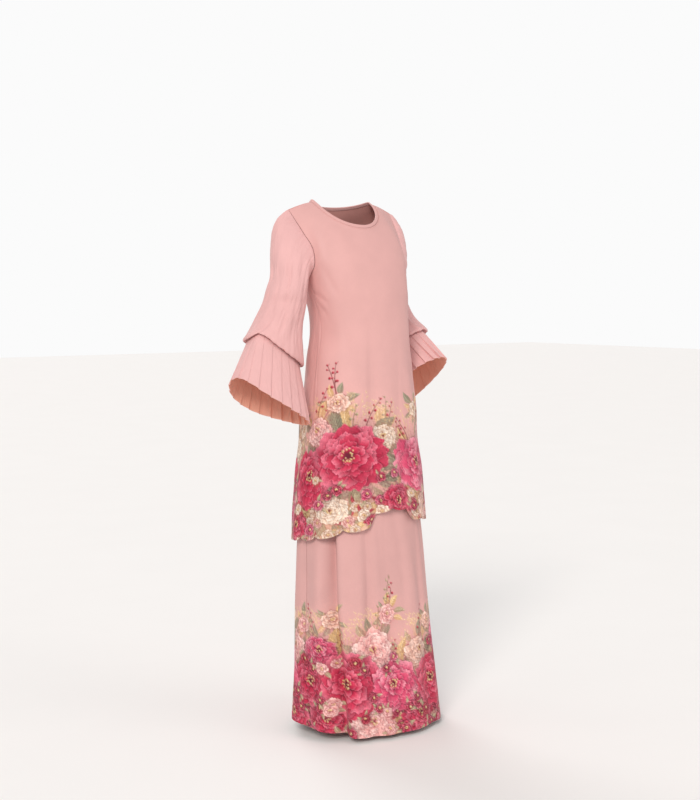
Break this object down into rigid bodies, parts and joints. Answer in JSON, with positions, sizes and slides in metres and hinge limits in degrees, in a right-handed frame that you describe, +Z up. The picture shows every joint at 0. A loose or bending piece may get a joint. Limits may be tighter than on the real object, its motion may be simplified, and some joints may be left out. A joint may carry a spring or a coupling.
{
  "type": "baju kurung",
  "caption": "Worn, hollow baju kurung set: long A-line tunic with scalloped hem and two-tier flounced sleeves over a long folded skirt.",
  "frame": {"origin": "midway between the shoulder seams, at the level where the wearer's shoulders carry the tunic", "axes": "+Z up, -Y towards the wearer's front, +X towards the wearer's left"},
  "size_m": [0.6712, 0.3604, 1.3537],
  "materials": {
    "satin": "soft satin-backed crepe, dusty pink, printed with flowers at the hems",
    "chiffon": "matte crinkled chiffon, dusty pink"
  },
  "bodies": {
    "root": {"tunic_front": "satin", "tunic_back": "satin", "tunic_side_right": "satin", "tunic_side_left": "satin", "neck_binding": "satin", "sleeve_right": "chiffon", "sleeve_left": "chiffon", "flounce_right": "chiffon", "flounce_left": "chiffon", "skirt_front": "satin", "skirt_back": "satin", "skirt_waistband": "satin"}
  },
  "joints": []
}
